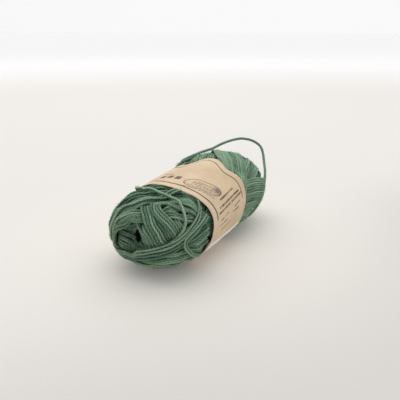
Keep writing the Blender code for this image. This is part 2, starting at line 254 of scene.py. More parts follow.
# The main bundles, in the order in which they were wound: how many strands lie side by side, in how
# many layers, and the route. Along it, spread is how far apart they lie (1 is close) and proud how
# far they stand out. Even is how far their heights are made alike, tone how light they are (0 to 1,
# or left to chance), and girth how thick. What a bundle doesn't name is as in PLAIN_BUNDLE.
PLAIN_BUNDLE = {"layers": 1, "spread": (1.0, 1.0), "proud": (0.0, 0.0), "even": 0.0, "tone": None,
                "girth": 1.0}
BUNDLES = (
    {"name": "edge_rows", "strands": 16, "proud": (-0.6, -0.6, -0.9),
     "route": ((56, 88), (47, 87), (38, 86), (30, 85), (24, 84))},
    {"name": "hole_top", "strands": 5, "even": 0.5,
     "route": ((54, 120), (34, 118), (18.6, 112), (11.9, 92), (9.6, 73), (9.2, 44), (11.8, 22), (17.6, 10),
               (30, 4), (52, 0))},
    {"name": "hole_left", "strands": 7, "spread": (1.2, 1.1, 1.0, 0.9), "even": 0.4,
     "route": ((52, 18), (34, 14), (20.4, 8), (15.4, 3), (12.1, -3), (8.4, -15), (6.7, -55), (8.8, -85),
               (14.1, -100), (24, -112), (52, -118))},
    {"name": "hole_right", "strands": 6, "spread": (1.1, 1.0, 0.85), "even": 0.4,
     "route": ((54, 82), (30, 84), (19.9, 86), (12.1, 87), (7, 107), (5.4, 149), (6.9, -158), (10.6, -128),
               (16.8, -121), (26, -120), (52, -118))},
    {"name": "shaded_sweep", "strands": 6,
     "route": ((54, 108), (38, 111), (28, 121), (24, 138), (24, 158), (26, 178), (32, -160), (54, -148))},
    {"name": "inner_fan", "strands": 7, "spread": (1.1, 1.0, 0.75), "proud": (0.4, 1.3, 1.0, 0.2),
     "route": ((52, -66), (28, -50), (18.5, -15), (16.4, 28), (15.8, 62), (17.8, 88), (20.8, 100), (27, 112),
               (40, 122), (56, 130))},
    {"name": "low_rows", "strands": 3,
     "route": ((16, 98), (21, 111), (25.5, 121), (28.5, 132), (32.5, 143), (38, 149), (46, 154), (58, 158))},
    {"name": "middle_sweep", "strands": 7, "spread": (0.9, 1.0, 1.1, 0.95, 0.85), "proud": (0.2, 0.7, 0.2),
     "route": ((54, 78), (36, 85), (26, 95), (21, 107), (17, 122), (15.6, 143), (15.4, 166), (18.5, -176),
               (28, -157), (54, -142))},
    {"name": "turned_rows", "strands": 4, "spread": (1.2, 1.0, 1.0, 1.1), "proud": (0.0, 0.5, 0.0),
     "route": ((56, 158), (46, 152), (40, 142), (36.5, 130), (34, 118), (31.5, 107), (28, 102), (24.5, 106),
               (22.3, 118), (21.7, 136), (21.7, 154), (24, 172), (30, -166), (54, -152))},
    {"name": "side_outer", "strands": 8, "spread": (1.1, 1.1, 1.0, 0.9), "even": 0.3,
     "proud": (0.1, 0.4, 1.0, 0.6, 0.0, 0.0),
     "route": ((54, -42), (38, -28), (31, -4), (29.5, 22), (31, 45), (34.5, 62), (39, 78), (42.5, 92),
               (45.5, 106), (48.5, 121), (52, 133), (60, 141))},
    {"name": "side_sweep", "strands": 10, "spread": (1.2, 1.2, 1.2, 1.0, 0.5, 0.7, 0.8), "even": 0.2,
     "proud": (0.0, 0.4, 0.9, 0.6, 0.2),
     "route": ((52, -75), (32, -66), (25, -45), (21.8, -18), (21.3, 10), (23, 36), (25.4, 58), (28.8, 76),
               (32.3, 87), (35.2, 97), (38, 106), (40.6, 116), (43, 129), (46, 141), (50, 150), (60, 156))},
    {"name": "fan_strand", "strands": 2, "proud": (0.2, 0.6, 0.9, 1.0, 0.8, 0.3, 0.0, 0.0), "tone": 0.9,
     "route": ((60, 128), (46, 112), (40, 104), (35, 98), (31.5, 92), (28.2, 85), (26, 76), (24.6, 62),
               (22, 46), (19, 28), (18, 8), (20, -12), (30, -32), (54, -45))},
    {"name": "slack_turn", "strands": 1, "proud": (0.2, 1.0, 1.7, 1.9, 1.7, 0.2), "tone": 1.2, "girth": 1.15,
     "route": ((60, 24), (51, 38), (46, 49), (40, 66), (36.3, 83), (35.2, 95), (35, 110), (34.8, 120),
               (33, 130), (30.5, 139), (28, 149), (25, 158), (21, 166), (16, 176), (14, -170))},
    {"name": "front_patch", "strands": 12, "layers": 2, "spread": (1.0, 0.85),
     "route": ((62, 170), (46, 172), (37, 175), (29, -178), (23, -166), (19, -148), (20, -124), (30, -104),
               (52, -94))},
    {"name": "floor_sweep", "strands": 7,
     "route": ((56, -128), (38, -124), (26, -116), (22, -96), (24, -74), (34, -58), (56, -48))},
    {"name": "under_sweep", "strands": 6, "spread": (1.1, 1.15, 1.1),
     "route": ((56, -156), (38, -152), (26, -152), (19.5, -146), (15.5, -126), (14.5, -98), (17, -70),
               (23, -50), (36, -38), (56, -32))},
    {"name": "low_sweep", "strands": 4, "spread": (1.2, 1.2, 1.0), "even": 0.5,
     "proud": (0.2, 0.9, 1.0, 0.2),
     "route": ((62, 112), (53, 124), (48, 139), (42.7, 151), (36, 159), (29.8, 165.5), (24.3, 172.5),
               (18.7, -180), (12.6, -165), (8.5, -134), (7.8, -100), (11.4, -60), (18.4, -43), (27, -30),
               (40, -23), (58, -18))},
    {"name": "patch_loop", "strands": 2, "proud": (0.3, 0.5),
     "route": ((60, 146), (50, 152), (42, 158), (34, 164), (28, 169), (25.2, 175), (25, -177), (27, -168),
               (32, -156), (41, -145), (56, -136))},
    {"name": "far_edge_rows", "strands": 6, "proud": (0.0, 0.2, -0.4),
     "route": ((66, 44), (76, 44), (85, 45), (93, 47), (100, 50))},
    {"name": "far_ridge", "strands": 6, "layers": 2, "proud": (0.8, 0.5, 0.2, 0.0, 0.0, 0.0),
     "route": ((63, 52), (76, 57), (86, 60), (96, 63), (106, 68), (118, 76), (130, 84), (142, 120),
               (146, -160), (138, -120), (120, -104), (90, -100))},
    {"name": "far_crown", "strands": 10,
     "route": ((78, 88), (92, 84), (108, 74), (126, 58), (142, 20), (144, -40), (128, -74), (108, -88),
               (84, -98))},
    {"name": "far_back", "strands": 11, "even": 0.5,
     "route": ((78, 52), (92, 42), (106, 26), (122, 2), (136, -34), (146, -90), (140, -150), (122, -168),
               (100, -178), (78, 172))},
    {"name": "far_low", "strands": 10, "even": 0.5,
     "route": ((80, -168), (92, -158), (106, -148), (122, -128), (138, -98), (148, -40), (142, 24),
               (124, 40), (104, 44), (80, 48))},
    {"name": "far_turn", "strands": 8, "even": 0.7,
     "route": ((91, 165), (108, 150), (123, 139), (140, 135), (157, 165), (143, -69), (124, -74),
               (103, -76))},
    {"name": "far_rows", "strands": 13, "spread": (1.0, 1.05, 1.0), "even": 0.7, "proud": (0.3, 1.3, 0.4),
     "route": ((78, 162), (90, 166), (100, 170), (112, 176), (124, -174), (138, -152), (150, -110),
               (146, -56), (128, -38), (108, -30), (80, -24))},
    {"name": "far_top", "strands": 15, "spread": (0.9, 1.0, 1.0), "even": 0.75,
     "route": ((82, 156), (92, 140), (102, 124), (114, 108), (126, 90), (140, 60), (149, 0), (142, -50),
               (122, -66), (100, -76), (78, -84))},
)

# Which bundles make up each piece of the scene
BUNDLE_PIECES = {
    "near_inner_turns": ("edge_rows", "hole_top", "hole_left", "hole_right", "shaded_sweep", "inner_fan",
                         "low_rows", "middle_sweep", "turned_rows", "floor_sweep"),
    "near_outer_turns": ("side_outer", "side_sweep", "fan_strand", "slack_turn", "front_patch",
                         "under_sweep", "low_sweep", "patch_loop"),
    "far_inner_turns": ("far_edge_rows", "far_ridge", "far_crown", "far_low"),
    "far_middle_turns": ("far_back", "far_turn"),
    "far_outer_turns": ("far_rows", "far_top"),
}

# The room, in metres
FLOOR_HALF = 12
LIGHT_FROM = (0.86, 0.25, 0.44)
WINDOW_PLACE = (0.4, 0.3, 1.15)
WINDOW_AIM = (0, 0, 0.02)
WINDOW_WATTS = 10.4
WINDOW_SIZE = 2.2


def smooth(value, low, high):
    """0 below low, 1 above high, and a soft step between."""
    part = np.clip((value - low) / (high - low), 0, 1)
    return part * part * (3 - 2 * part)


def bluntness(x):
    return np.where(x < 0, NEAR_BLUNTNESS, FAR_BLUNTNESS)


def share(x):
    """How much of the full section is left at x: 1 in the middle, 0 at both ends."""
    return np.clip(1 - np.abs(x / HALF_LENGTH) ** bluntness(x), 0, 1) ** (1 / ROUNDING)


def section(x):
    """Half width, half height and middle height of the form's full section at x."""
    half_width = WIDTH / 2 * (1 - WIDTH_LOSS_TO_FAR_END * x / HALF_LENGTH)
    half_height = HEIGHT / 2 * (1 + RISE_TO_FAR_END * x / HALF_LENGTH)
    return half_width, half_height, half_height - SINKAGE


def meridian():
    """The form's profile as two tables: x, and the way along the surface from the near end."""
    steps = np.linspace(-1, 1, PROFILE_POINTS)
    x = HALF_LENGTH * np.sign(steps) * (1 - (1 - np.abs(steps)) ** 3)
    radius = MEAN_RADIUS * share(x)
    return x, np.concatenate([[0], np.cumsum(np.hypot(np.diff(x), np.diff(radius)))])


MERIDIAN_X, MERIDIAN_ARC = meridian()
WHOLE_ARC = float(MERIDIAN_ARC[-1])


def turn_of(points):
    """The turn round the axis of points, in radians, as the form's sections count it."""
    half_width, half_height, middle = section(points[:, 0])
    return np.arctan2((points[:, 2] - middle) / half_height, points[:, 1] / half_width)


def arc_of(points):
    """The way along the form from the near end to points that lie on it."""
    return np.interp(points[:, 0], MERIDIAN_X, MERIDIAN_ARC)


def form_at(x, angle):
    """Points on the wound form and their outward directions, for arrays of x and angle (radians)."""
    half_width, half_height, middle = section(x)
    rest = share(x)
    cosine, sine = np.cos(angle), np.sin(angle)
    point = np.stack([x, half_width * rest * cosine, middle + half_height * rest * sine], -1)
    blunt = bluntness(x)
    along = blunt * np.abs(x / HALF_LENGTH) ** (blunt - 1) * np.sign(x) / HALF_LENGTH
    outward = ROUNDING * rest ** (ROUNDING - 1)
    normal = np.stack([along, outward * cosine / half_width, outward * sine / half_height], -1)
    return point, normal / np.linalg.norm(normal, axis=-1, keepdims=True)


def form_along(arc, angle):
    """The same for arrays of arc and angle."""
    return form_at(np.interp(arc, MERIDIAN_ARC, MERIDIAN_X), angle)


def fullness(points):
    """Below 1 inside the form and above 1 outside it."""
    half_width, half_height, middle = section(points[:, 0])
    across = np.hypot(points[:, 1] / half_width, (points[:, 2] - middle) / half_height)
    return np.abs(points[:, 0] / HALF_LENGTH) ** bluntness(points[:, 0]) + across ** ROUNDING


def settle(points, origins=None):
    """Move points straight out from the skein's spine, or from origins, onto its form."""
    if origins is None:
        spine_x = np.clip(points[:, 0], -SPINE, SPINE)
        origins = np.stack([spine_x, np.zeros(len(points)), section(spine_x)[2]], -1)
    rays = points - origins
    rays /= np.linalg.norm(rays, axis=1, keepdims=True)
    low, high = np.zeros(len(points)), np.full(len(points), OUTSIDE)
    for _ in range(HALVINGS):
        half = (low + high) / 2
        inside = fullness(origins + rays * half[:, None]) < 1
        low, high = np.where(inside, half, low), np.where(inside, high, half)
    found = origins + rays * low[:, None]
    return form_at(found[:, 0], turn_of(found))


def edge_at(table, angle):
    """Read an edge table at angle (radians) along a smooth closed curve."""
    turns = np.array([row[0] for row in table], float)
    places = np.tile([row[1] for row in table], 3)
    turns = np.concatenate([turns - 360, turns, turns + 360])
    slopes = np.gradient(places, turns)
    at = (np.degrees(angle) + 180) % 360 - 180
    row = np.searchsorted(turns, at, side="right") - 1
    span = turns[row + 1] - turns[row]
    part = (at - turns[row]) / span
    start, end = places[row], places[row + 1]
    leaving, coming = slopes[row] * span, slopes[row + 1] * span
    return ((2 * part ** 3 - 3 * part ** 2 + 1) * start + (part ** 3 - 2 * part ** 2 + part) * leaving
            + (3 * part ** 2 - 2 * part ** 3) * end + (part ** 3 - part ** 2) * coming)


def even_way(points, step, closed=False):
    """The same line with its points an even step apart."""
    if closed:
        points = np.vstack([points, points[:1]])
    way = np.concatenate([[0], np.cumsum(np.linalg.norm(np.diff(points, axis=0), axis=1))])
    count = max(3, round(way[-1] / step) + 1)
    even = np.linspace(0, way[-1], count)
    return np.stack([np.interp(even, way, column) for column in points.T], -1)


def smooth_way(points, step):
    """A smooth curve through the points, read an even step apart."""
    points = np.asarray(points, float)
    padded = np.vstack([2 * points[0] - points[1], points, 2 * points[-1] - points[-2]])
    pieces = []
    for before, start, end, after in zip(padded, padded[1:], padded[2:], padded[3:]):
        part = np.linspace(0, 1, CURVE_PARTS, endpoint=False)[:, None]
        pieces.append(0.5 * (2 * start + (end - before) * part
                             + (2 * before - 5 * start + 4 * end - after) * part ** 2
                             + (3 * start - before - 3 * end + after) * part ** 3))
    return even_way(np.vstack(pieces + [points[-1:]]), step)


def along_line(values, count):
    """A few values spread evenly along a line of count points, with the points between read off."""
    return np.interp(np.linspace(0, 1, count), np.linspace(0, 1, len(values)), values)


def stretches(shown):
    """Where each stretch of a line that shows begins, and where it is over."""
    marks = np.flatnonzero(np.diff(np.concatenate([[0], shown.astype(int), [0]])))
    return zip(marks[::2], marks[1::2])


def tree_of(places, numbers):
    """A tree that finds which of some numbered places lie close by."""
    tree = KDTree(len(numbers))
    for place, number in zip(places, numbers):
        tree.insert(place, int(number))
    tree.balance()
    return tree


def lifted(angle):
    """Where round the axis the band's near edge stands off the yarn, from 0 to 1."""
    degrees = np.degrees(angle) % 360
    start, full, fading, end = LIFTED_TURNS
    return smooth(degrees, start, full) * (1 - smooth(degrees, fading, end))


def under_band(points):
    """How far in from the band's near and far edges points lie, below zero outside."""
    angle = turn_of(points)
    return points[:, 0] - edge_at(NEAR_EDGE, angle), edge_at(FAR_EDGE, angle) - points[:, 0]


def seat_depth(points):
    """How deep the band presses the yarn's outer face below the form, and how much it does so."""
    inside_near, inside_far = under_band(points)
    loose = lifted(turn_of(points))
    seat = smooth(inside_near + LIFTED_SHIFT * loose, *NEAR_SEAT) * smooth(inside_far, *FAR_SEAT)
    loosened = NEAR_EDGE_LIFT * loose * (1 - smooth(inside_near, 0.0, LIFTED_WIDTH))
    return seat * (PAPER + SEAT_GAP + loosened), seat


def beside_hole(arc, angle, margin=0.0):
    """How far across and up from the pull hole's middle places lie, in half openings."""
    across = (arc * np.cos(angle) - HOLE[0]) / (HOLE_HALF[0] + margin)
    up = (arc * np.sin(angle) - HOLE[1]) / (HOLE_HALF[1] + margin)
    return across, up


def from_hole(points):
    """How many times as far from the pull hole's middle as its rim points lie."""
    arc = arc_of(points)
    return np.where(arc < NEAR_FACE, np.hypot(*beside_hole(arc, turn_of(points))), 99.0)


def round_hole(points):
    """Lead a line round the pull hole, along the surface."""
    arc, angle = arc_of(points), turn_of(points)
    across, up = beside_hole(arc, angle)
    away = np.maximum(np.hypot(across, up), 0.05)
    wider = np.sqrt(away ** 2 + HOLE_LIP ** 2 * (1 - smooth(away, HOLE_LIP, HOLE_FADE))) / away
    flat_y = HOLE[0] + across * wider * HOLE_HALF[0]
    flat_z = HOLE[1] + up * wider * HOLE_HALF[1]
    reach = np.where(arc < NEAR_FACE, np.hypot(flat_y, flat_z), arc)
    turn = np.where(arc < NEAR_FACE, np.arctan2(flat_z, flat_y), angle)
    return even_way(form_along(reach, turn)[0], STEP)


def hollow(points, funnels):
    """How far strands sink round the pull hole, in a wide dish and some depths of the funnel in it."""
    arc, angle = arc_of(points), turn_of(points)
    away = np.hypot(arc * np.cos(angle) - HOLLOW_MIDDLE[0], arc * np.sin(angle) - HOLLOW_MIDDLE[1])
    dish = HOLLOW_DEPTH * (1 - smooth(away, HOLLOW_FROM, HOLLOW_REACH))
    funnel = FUNNEL_DEPTH * (1 - smooth(from_hole(points), FUNNEL_FROM, HOLE_FADE))
    return np.where(arc < NEAR_FACE, dish + funnels * funnel, 0.0)


def rise_to_slack(points):
    """How far the yarn swells to meet the slack strand where that lies on it."""
    route = smooth_way(SLACK_ROUTE, SLACK_STEP)
    lying = route[np.linalg.norm(route - settle(route)[0], axis=1) < SLACK_LIES]
    tree = tree_of(lying, range(len(lying)))
    gaps = np.array([tree.find(place)[2] for place in points])
    from_band = smooth(-under_band(points)[1], *SLACK_RISE_FROM_BAND)
    return SLACK_RISE * from_band * np.exp(-(np.maximum(gaps - SLACK_RISE_WIDTH, 0) / SLACK_RISE_FADE) ** 2)


def ripple(rng, length, swing, waves):
    """A soft random wander along a line of that many points, in millimetres."""
    at = np.arange(length) * STEP
    total = np.zeros(length)
    for wave in waves:
        total += np.sin(2 * math.pi * (at / wave + rng.random())) * rng.normal(0, 1)
    return swing * total / math.sqrt(len(waves))


class Winding:
    """Strands laid on the form one after another, each over what lies there already."""

    def __init__(self, seed):
        self.rng = np.random.default_rng(seed)
        self.feet = np.zeros((0, 3))
        self.heights = np.zeros(0)
        self.lines = []
        self.tree = tree_of([], [])
        self.in_tree = 0

    def near(self, places, radius):
        """For each place, the numbers and distances of the strand points within radius, but the buried."""
        if (len(self.feet) - self.in_tree) * len(places) > MOST_PAIRS:
            self.in_tree = len(self.feet)
            open_points = np.flatnonzero(self.heights > BURIED)
            self.tree = tree_of(self.feet[open_points], open_points)
        found = [[(number, gap) for _, number, gap in self.tree.find_range(place, radius)]
                 for place in places]
        newest = self.feet[self.in_tree:]
        gaps = np.linalg.norm(places[:, None] - newest[None], axis=2)
        for row, column in zip(*np.nonzero(gaps < radius)):
            found[row].append((self.in_tree + column, gaps[row, column]))
        return found

    def lay(self, line, label, proud=(0.0, 0.0), tone=None, girth=1.0):
        """Lay one line over the strands already there. A strand bridges short dips."""
        if len(line) < SHORTEST:
            return
        touch = STRAND * CLOSENESS
        height = np.full(len(line), LOWEST)
        for place, below in enumerate(self.near(line, touch)):
            for number, gap in below:
                rise = math.sqrt(max(touch * touch - gap * gap, 0.0))
                height[place] = max(height[place], self.heights[number] + rise)
        padded = np.pad(height, BRIDGED, mode="edge")
        height = np.max([padded[start:start + len(line)] for start in range(2 * BRIDGED + 1)], axis=0)
        weights = np.exp(-0.5 * (np.arange(-EASED, EASED + 1) / EASED_SPREAD) ** 2)
        height = np.convolve(np.pad(height, EASED, mode="edge"), weights / weights.sum(), mode="valid")
        self.lines.append({"numbers": len(self.feet) + np.arange(len(line)), "label": label,
                           "tone": self.rng.random() if tone is None else tone,
                           "girth": girth * (1 + GIRTH_CHANCE * self.rng.normal()), "proud": proud})
        self.feet = np.vstack([self.feet, line])
        self.heights = np.concatenate([self.heights, height])

    def level(self, target, softness, beyond=-20.0):
        """Shift the strands beyond an arc so that their local top, a soft average, lies at target."""
        rows, columns = LEVEL_GRID
        arc = (np.arange(rows) + 0.5) / rows * WHOLE_ARC
        angle = 2 * math.pi * np.arange(columns) / columns
        arcs, angles = np.meshgrid(arc, angle, indexing="ij")
        points, _ = form_along(arcs.ravel(), angles.ravel())
        top = np.array([max([self.heights[number] for number, _ in around] or [LOWEST])
                        for around in self.near(points, LEVEL_REACH)]).reshape(rows, columns)
        for _ in range(softness):
            wide = np.pad(top, ((1, 1), (0, 0)), mode="edge")
            top = (wide[:-2] + 2 * wide[1:-1] + wide[2:]) / 4
            top = (np.roll(top, 1, 1) + 2 * top + np.roll(top, -1, 1)) / 4
        at_row = np.clip(arc_of(self.feet) / WHOLE_ARC * rows - 0.5, 0, rows - 1.001)
        at_column = (turn_of(self.feet) % (2 * math.pi)) / (2 * math.pi) * columns
        row, column = at_row.astype(int), at_column.astype(int) % columns
        down, over = at_row - row, at_column - np.floor(at_column)
        after = (column + 1) % columns
        local = ((1 - down) * ((1 - over) * top[row, column] + over * top[row, after])
                 + down * ((1 - over) * top[row + 1, column] + over * top[row + 1, after]))
        moved = smooth(arc_of(self.feet), beyond - LEVEL_FADE, beyond + LEVEL_FADE)
        self.heights = self.heights + (target - local) * moved

    def even_out(self, label, part):
        """Bring a bundle's strands part of the way to their average height close by."""
        numbers = np.concatenate([line["numbers"] for line in self.lines if line["label"] == label])
        tree = tree_of(self.feet[numbers], range(len(numbers)))
        heights = self.heights[numbers]
        for place, number in enumerate(numbers):
            around = [index for _, index, _ in tree.find_range(self.feet[number], EVEN_REACH)]
            self.heights[number] = heights[place] * (1 - part) + heights[around].mean() * part

    def hidden(self):
        """Which points lie under two strands or more."""
        covered = np.zeros(len(self.feet), bool)
        for place, around in enumerate(self.near(self.feet, COVER_REACH)):
            above = max([self.heights[number] for number, _ in around] or [0.0])
            covered[place] = above - self.heights[place] > COVER_DEPTH
        return covered


def loop_lines(rng, turn, lean, strands):
    """Closed loops side by side where leaning planes cut the form, cut off well under the band."""
    normal = np.array([math.sin(lean), math.cos(lean) * math.cos(turn), math.cos(lean) * math.sin(turn)])
    side = np.cross(normal, [0, 0, 1])
    side /= np.linalg.norm(side)
    other = np.cross(normal, side)
    middle = np.array([0, 0, section(0.0)[2]])
    around = np.linspace(0, 2 * math.pi, LOOP_POINTS, endpoint=False)[:, None]
    lines = []
    for place in range(strands):
        offset = (place - (strands - 1) / 2) * PITCH
        origin = middle + normal * offset
        rays = side * np.cos(around) + other * np.sin(around)
        origins = np.repeat(origin[None], len(rays), 0)
        points, _ = settle(origins + rays, origins)
        points = even_way(points, STEP, closed=True)[:-1]
        points = points + np.outer(ripple(rng, len(points), LOOP_WANDER, LOOP_WAVES), normal)
        lines += bare_runs(settle(points)[0])
    return lines


def bare_runs(points):
    """The stretches of a closed line that aren't well under the band."""
    inside_near, inside_far = under_band(points)
    bare = np.minimum(inside_near, inside_far) < LOOP_UNDER_BAND
    if bare.all():
        return [points]
    first = int(np.argmin(bare))
    points, bare = np.roll(points, -first, 0), np.roll(bare, -first)
    return [points[start:end] for start, end in stretches(bare) if end - start > SHORTEST_LOOP]


def bundle_lines(rng, bundle):
    """The strands of a bundle, side by side along its route."""
    arcs = np.array([row[0] for row in bundle["route"]], float)
    angles = np.radians([row[1] for row in bundle["route"]])
    from_far = arcs.mean() > WHOLE_ARC / 2
    reach = WHOLE_ARC - arcs if from_far else arcs
    flat = smooth_way(np.stack([reach * np.cos(angles), reach * np.sin(angles)], -1), STEP)
    reach = np.hypot(flat[:, 0], flat[:, 1])
    arc = WHOLE_ARC - reach if from_far else reach
    middle, _ = form_along(arc, np.arctan2(flat[:, 1], flat[:, 0]))
    middle, normal = settle(even_way(middle, STEP))
    across = np.cross(normal, np.gradient(middle, axis=0))
    across /= np.linalg.norm(across, axis=1, keepdims=True)
    spread = along_line(bundle["spread"], len(middle))
    lines = []
    for layer in range(bundle["layers"]):
        strands = bundle["strands"] - layer
        for place in range(strands):
            wander = ripple(rng, len(middle), WANDER, WANDER_WAVES)
            offset = (place - (strands - 1) / 2) * PITCH * spread + wander
            line = settle(middle + across * offset[:, None])[0]
            lines.append(settle(even_way(line, STEP))[0])
    return lines


def wind():
    """Wind the skein: crossing loops below, then the main bundles in their order."""
    winding = Winding(seed=7)
    rng = winding.rng
    golden = math.pi * (3 - math.sqrt(5))
    for group in range(LOOP_GROUPS):
        lean = math.radians(rng.uniform(*LOOP_LEANS)) * (1 if group % 2 else -1)
        for line in loop_lines(rng, group * golden, lean, int(rng.integers(*LOOP_STRANDS))):
            winding.lay(round_hole(line), "base")
        winding.level(BASE_LEVEL, softness=1)
    bundles = [{**PLAIN_BUNDLE, **bundle} for bundle in BUNDLES]
    for bundle in bundles:
        for line in bundle_lines(rng, bundle):
            winding.lay(round_hole(line), bundle["name"], bundle["proud"], bundle["tone"], bundle["girth"])
        winding.level(TOP_LEVEL, softness=5)
    winding.level(TOP_LEVEL, softness=2, beyond=WHOLE_ARC / 2)
    for bundle in bundles:
        if bundle["even"]:
            winding.even_out(bundle["name"], bundle["even"])
    return winding


def strand_points(winding):
    """The middles of the laid strands, eased at the top, under the band and on the floor."""
    points, normals = form_at(winding.feet[:, 0], turn_of(winding.feet))
    over = winding.heights
    over = np.where(over > HEIGHT_LIMIT, HEIGHT_LIMIT + (over - HEIGHT_LIMIT) * KEPT_PAST_LIMIT, over)
    over += FAR_BULGE * np.exp(-(under_band(points)[1] / BULGE_REACH) ** 2) + rise_to_slack(points)
    sinking, deeper = hollow(points, 1), hollow(points, DEEP_FUNNELS)
    for line in winding.lines:
        numbers = line["numbers"]
        over[numbers] += along_line(line["proud"], len(numbers))
        if line["label"] in SUNK:
            over[numbers] -= (deeper if line["label"] == "base" else sinking)[numbers]
    depth, seat = seat_depth(points)
    pressed = np.where(seat > LEAST_SEAT, seat, 0)
    middle = over - STRAND / 2
    middle = np.minimum(middle, (-depth - STRAND / 2) * pressed + middle * (1 - pressed))
    centres = points + normals * middle[:, None]
    centres[:, 2] = np.maximum(centres[:, 2], STRAND * ON_FLOOR)
    return centres


def visible_lines(winding, centres, hidden, labels, near=None):
    """The lines of those labels, at one end or both, without the stretches that lie deep under others."""
    found = []
    across_hole = from_hole(winding.feet)
    for line in winding.lines:
        points = centres[line["numbers"]]
        wrong_end = near is not None and (points[:, 0].mean() < NEAR_LOOPS_BEFORE) != near
        if line["label"] not in labels or wrong_end:
            continue
        cut = LOOPS_END if line["label"] == "base" else TURNS_END
        covered = hidden[line["numbers"]] | (across_hole[line["numbers"]] < cut)
        for start, end in stretches(~covered):
            start, end = max(0, start - OVERLAP), min(len(points), end + OVERLAP)
            if end - start >= SHORTEST:
                found.append({"points": points[start:end], "tone": line["tone"], "girth": line["girth"]})
    return found


class Wire:
    """One output in a node tree, so that sums on it can be written as sums."""

    def __init__(self, board, socket):
        self.board, self.socket = board, socket

    def __add__(self, other):
        return self.board.maths("ADD", self, other)

    def __radd__(self, other):
        return self.board.maths("ADD", other, self)

    def __sub__(self, other):
        return self.board.maths("SUBTRACT", self, other)

    def __rsub__(self, other):
        return self.board.maths("SUBTRACT", other, self)

    def __mul__(self, other):
        return self.board.maths("MULTIPLY", self, other)

    def __rmul__(self, other):
        return self.board.maths("MULTIPLY", other, self)

    def __truediv__(self, other):
        return self.board.maths("DIVIDE", self, other)

    def __pow__(self, other):
        return self.board.maths("POWER", self, other)

    def __abs__(self):
        return self.board.maths("ABSOLUTE", self)

    def cosine(self):
        return self.board.maths("COSINE", self)

    def least(self, other):
        return self.board.maths("MINIMUM", self, other)

    def most(self, other):
        return self.board.maths("MAXIMUM", self, other)

    def over(self, least):
        """1 above least, else 0."""
        return self.board.maths("GREATER_THAN", self, least)

    def step(self, low, high):
        """0 below low, 1 above high, and a soft step between."""
        return self.board.node("ShaderNodeMapRange", {"interpolation_type": "SMOOTHSTEP"},
                               {"Value": self, "From Min": low, "From Max": high})

    def within(self, middle, half, soft):
        """1 within half of the middle, fading to 0 over soft."""
        return 1 - abs(self - middle).step(half, half + soft)


class Board:
    """A node tree, and one way to add any node to it."""

    def __init__(self, tree):
        self.tree = tree

    def node(self, kind, settings=None, values=None, output=0):
        """Add a node, its settings before its inputs, and give one of its outputs."""
        made = self.tree.nodes.new(kind)
        for name, setting in (settings or {}).items():
            setattr(made, name, setting)
        for name, value in (values or {}).items():
            if isinstance(value, Wire):
                self.tree.links.new(value.socket, made.inputs[name])
            else:
                made.inputs[name].default_value = value
        return Wire(self, made.outputs[output])

    def maths(self, operation, first, second=0.0):
        return self.node("ShaderNodeMath", {"operation": operation}, {0: first, 1: second})

    def vector_maths(self, operation, first, second=(0.0, 0.0, 0.0), output="Vector"):
        return self.node("ShaderNodeVectorMath", {"operation": operation}, {0: first, 1: second}, output)

    def vector(self, x=0.0, y=0.0, z=0.0):
        return self.node("ShaderNodeCombineXYZ", None, {0: x, 1: y, 2: z})

    def part(self, vector, axis):
        return self.node("ShaderNodeSeparateXYZ", None, {0: vector}, axis)

    def place(self):
        """Where the surface is, in metres."""
        return self.node("ShaderNodeTexCoord", output="Object")

    def attribute(self, name, kind="Fac"):
        return self.node("ShaderNodeAttribute", {"attribute_name": name}, output=kind)

    def mix(self, factor, first, second):
        """A colour between two."""
        return self.node("ShaderNodeMix", {"data_type": "RGBA"}, {0: factor, 6: first, 7: second}, output=2)

    def noise(self, place, scale, detail=2.0):
        values = {"Vector": place, "Scale": scale, "Detail": detail}
        return self.node("ShaderNodeTexNoise", None, values, "Fac")


def srgb(red, green, blue):
    """A colour given as 0 to 255 on a screen, as Blender wants it."""
    parts = [value / 255 for value in (red, green, blue)]
    return (*[part / 12.92 if part <= 0.04045 else ((part + 0.055) / 1.055) ** 2.4 for part in parts], 1.0)


def finish_start(name, constants):
    """A new material: its board, its shader's inputs set to constants, and the shader itself."""
    material = bpy.data.materials.new(name)
    material.use_nodes = True
    shader = material.node_tree.nodes["Principled BSDF"]
    for socket, value in constants.items():
        shader.inputs[socket].default_value = value
    return material, Board(material.node_tree), shader


def feed(shader, socket, wire):
    wire.board.tree.links.new(wire.socket, shader.inputs[socket])


def feed_bump(shader, strength, distance, height):
    """Small bumps, as high as distance in metres."""
    values = {"Strength": strength, "Distance": distance, "Height": height}
    feed(shader, "Normal", height.board.node("ShaderNodeBump", None, values, "Normal"))


